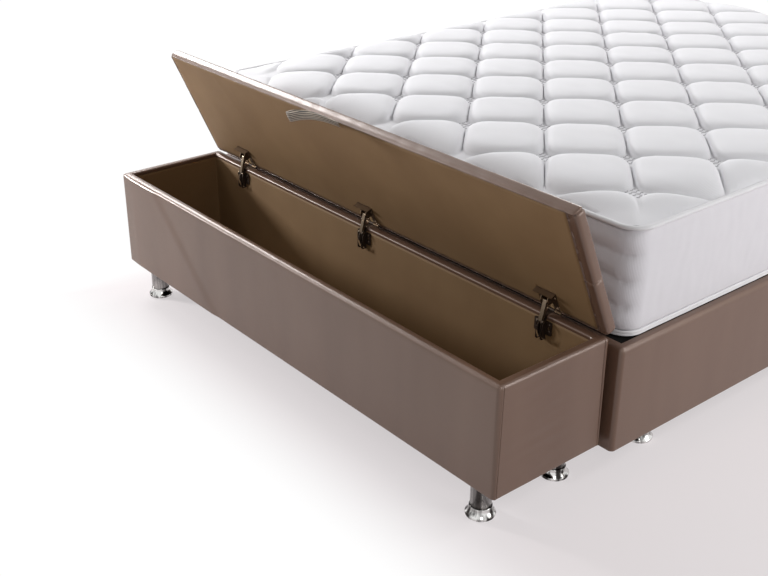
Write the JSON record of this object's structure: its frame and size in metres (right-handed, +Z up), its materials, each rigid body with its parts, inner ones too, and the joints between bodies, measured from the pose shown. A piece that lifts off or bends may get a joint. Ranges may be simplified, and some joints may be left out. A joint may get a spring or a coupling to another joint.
{
  "type": "storage box spring bed",
  "caption": "Double box spring bed with a quilted mattress and an upholstered storage chest at its foot, whose lid stands open on sprung stay hinges.",
  "frame": {"origin": "on the floor, midway along the whole length and width of the bed", "axes": "+X across the bed, +Y from the foot towards the head, +Z up"},
  "size_m": [1.65, 2.413, 0.7472],
  "materials": {
    "leatherette": "satin",
    "lining_cloth": "matte",
    "black_cloth": "matte",
    "chipboard": "matte",
    "plywood": "matte",
    "pine": "matte",
    "foam": "matte",
    "spring_unit": "matte",
    "chrome": "polished",
    "dark_steel": "satin",
    "zinc_steel": "satin",
    "ribbon": "matte",
    "mattress_knit": "matte",
    "mattress_side": "matte",
    "tape_white": "matte"
  },
  "bodies": {
    "bed": {"base_bottom_cloth": "black_cloth", "base_cover": "leatherette", "base_foot_rail": "pine", "base_head_rail": "pine", "base_left_rail": "pine", "base_leg_foot_left": "chrome", "base_leg_foot_right": "chrome", "base_leg_head_left": "chrome", "base_leg_head_right": "chrome", "base_leg_middle_left": "chrome", "base_leg_middle_right": "chrome", "base_right_rail": "pine", "base_slat_frame": "pine", "base_spring_unit": "spring_unit", "base_top_cloth": "black_cloth", "base_top_foam": "foam", "chest_back_board": "chipboard", "chest_bottom_cloth": "black_cloth", "chest_cover": "leatherette", "chest_floor_board": "plywood", "chest_floor_frame": "pine", "chest_floor_lining": "lining_cloth", "chest_front_board": "chipboard", "chest_left_board": "chipboard", "chest_leg_back_left": "chrome", "chest_leg_back_right": "chrome", "chest_leg_front_left": "chrome", "chest_leg_front_right": "chrome", "chest_leg_skirt_back_left": "chrome", "chest_leg_skirt_back_right": "chrome", "chest_leg_skirt_front_left": "chrome", "chest_leg_skirt_front_right": "chrome", "chest_link_block_left": "pine", "chest_link_block_right": "pine", "chest_right_board": "chipboard", "chest_wall_lining": "lining_cloth", "hinge_pin_left": "zinc_steel", "hinge_pin_middle": "zinc_steel", "hinge_pin_right": "zinc_steel", "mattress_border": "mattress_side", "mattress_bottom_panel": "mattress_knit", "mattress_bottom_tape": "tape_white", "mattress_comfort_foam": "foam", "mattress_pocket_springs": "spring_unit", "mattress_top_panel": "mattress_knit", "mattress_top_tape": "tape_white", "wall_bracket_left": "dark_steel", "wall_bracket_middle": "dark_steel", "wall_bracket_right": "dark_steel"},
    "lid": {"lid_cover": "leatherette", "lid_board": "chipboard", "lid_foam": "foam", "lid_lining": "lining_cloth", "pull_loop": "ribbon", "lid_bracket_left": "dark_steel", "lid_bracket_middle": "dark_steel", "lid_bracket_right": "dark_steel"},
    "stay_left": {"stay_arm_left": "zinc_steel"},
    "stay_middle": {"stay_arm_middle": "zinc_steel"},
    "stay_right": {"stay_arm_right": "zinc_steel"}
  },
  "joints": [
    {"name": "lid_hinge", "type": "hinge", "parent": "bed", "child": "lid", "pos_m": [0, -0.868, 0.3885], "axis": [1, 0, 0], "range_deg": [0, 65.84]},
    {"name": "stay_left_pivot", "type": "hinge", "parent": "lid", "child": "stay_left", "pos_m": [-0.614, -0.89197, 0.41994], "axis": [1, 0, 0], "range_deg": [-46.85, 0]},
    {"name": "stay_middle_pivot", "type": "hinge", "parent": "lid", "child": "stay_middle", "pos_m": [-0.028, -0.89197, 0.41994], "axis": [1, 0, 0], "range_deg": [-46.85, 0]},
    {"name": "stay_right_pivot", "type": "hinge", "parent": "lid", "child": "stay_right", "pos_m": [0.63, -0.89197, 0.41994], "axis": [1, 0, 0], "range_deg": [-46.85, 0]}
  ],
  "couplings": [
    {"joint": "stay_left_pivot", "follows": "lid_hinge", "ratio": -0.71142},
    {"joint": "stay_middle_pivot", "follows": "lid_hinge", "ratio": -0.71142},
    {"joint": "stay_right_pivot", "follows": "lid_hinge", "ratio": -0.71142}
  ]
}
